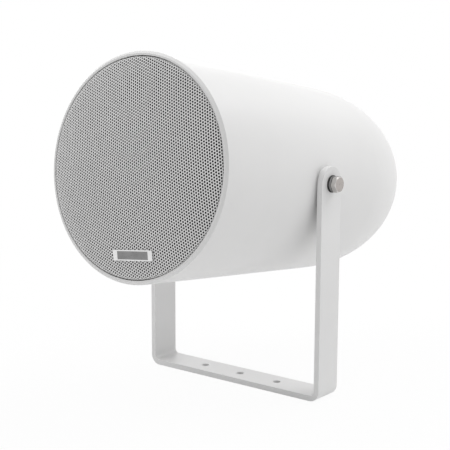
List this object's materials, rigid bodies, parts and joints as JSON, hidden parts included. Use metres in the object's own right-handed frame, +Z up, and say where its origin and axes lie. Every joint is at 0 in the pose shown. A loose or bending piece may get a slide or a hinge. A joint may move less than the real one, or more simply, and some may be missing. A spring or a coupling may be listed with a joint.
{
  "type": "sound projector",
  "caption": "Loudspeaker projector with a tapered, dome-backed housing, a domed perforated grille and a U-shaped bracket that it tilts in.",
  "frame": {"origin": "middle of the bracket's base, on its underside, at the centre of its row of holes", "axes": "+X along the tilt axis, -Y the way the projector faces, +Z up from the base to the tilt axis"},
  "size_m": [0.211, 0.3731, 0.3066],
  "materials": {
    "housing_white": "fine satin moulded plastic",
    "bracket_paint": "light grey powder coat",
    "grille_paint": "light grey powder coat on perforated steel",
    "foam_black": "open-cell acoustic foam",
    "plate_silver": "brushed plate with a plain dark field",
    "zinc_steel": "zinc-plated steel",
    "stainless": "turned stainless steel",
    "black_plastic": "moulded plastic",
    "spacer_plastic": "moulded nylon",
    "basket_black": "black painted pressed steel",
    "rubber_black": "soft rubber",
    "paper_black": "pressed paper pulp",
    "former_amber": "thin polyimide tube",
    "copper": "enamelled copper wire",
    "spider_cloth": "resin-stiffened cloth",
    "ferrite": "sintered ferrite",
    "board_brown": "phenolic board",
    "brass": "plain brass",
    "lead_red": "insulated wire",
    "core_steel": "varnished laminations",
    "coil_tape": "winding under yellow tape",
    "block_ceramic": "glazed ceramic"
  },
  "bodies": {
    "bracket": {"u_bracket": "bracket_paint"},
    "head": {"housing_shell": "housing_white", "grille": "grille_paint", "grille_foam": "foam_black", "grille_plate": "plate_silver", "baffle": "black_plastic", "driver_gasket": "foam_black", "basket": "basket_black", "surround": "rubber_black", "spider": "spider_cloth", "top_plate": "zinc_steel", "magnet": "ferrite", "back_plate": "zinc_steel", "terminal_board": "board_brown", "solder_lugs": "brass", "driver_leads": "lead_red", "transformer_core": "core_steel", "transformer_coil": "coil_tape", "transformer_bracket": "zinc_steel", "terminal_block": "block_ceramic", "terminal_inserts": "brass", "clamp_screws": "zinc_steel", "cable_grommet": "rubber_black", "spacer_washers": "spacer_plastic", "flat_washers": "stainless", "spring_washers": "stainless", "pivot_bolts": "stainless", "backing_washers": "zinc_steel", "lock_nuts": "zinc_steel", "baffle_screws": "zinc_steel", "driver_screws": "zinc_steel", "transformer_screws": "zinc_steel", "block_screw": "zinc_steel"},
    "cone_assembly": {"cone": "paper_black", "dust_cap": "paper_black", "coil_former": "former_amber", "coil_winding": "copper"}
  },
  "joints": [
    {"name": "head_tilt", "type": "hinge", "parent": "bracket", "child": "head", "pos_m": [0, 0, 0.193], "axis": [-1, 0, 0], "range_deg": [-72.8, 52.2]},
    {"name": "cone_travel", "type": "slide", "parent": "head", "child": "cone_assembly", "axis": [0, -0.9907, 0.1357], "range_m": [-0.003, 0.003], "stiffness_N_per_m": 2000, "deforming": ["surround", "spider"]}
  ]
}
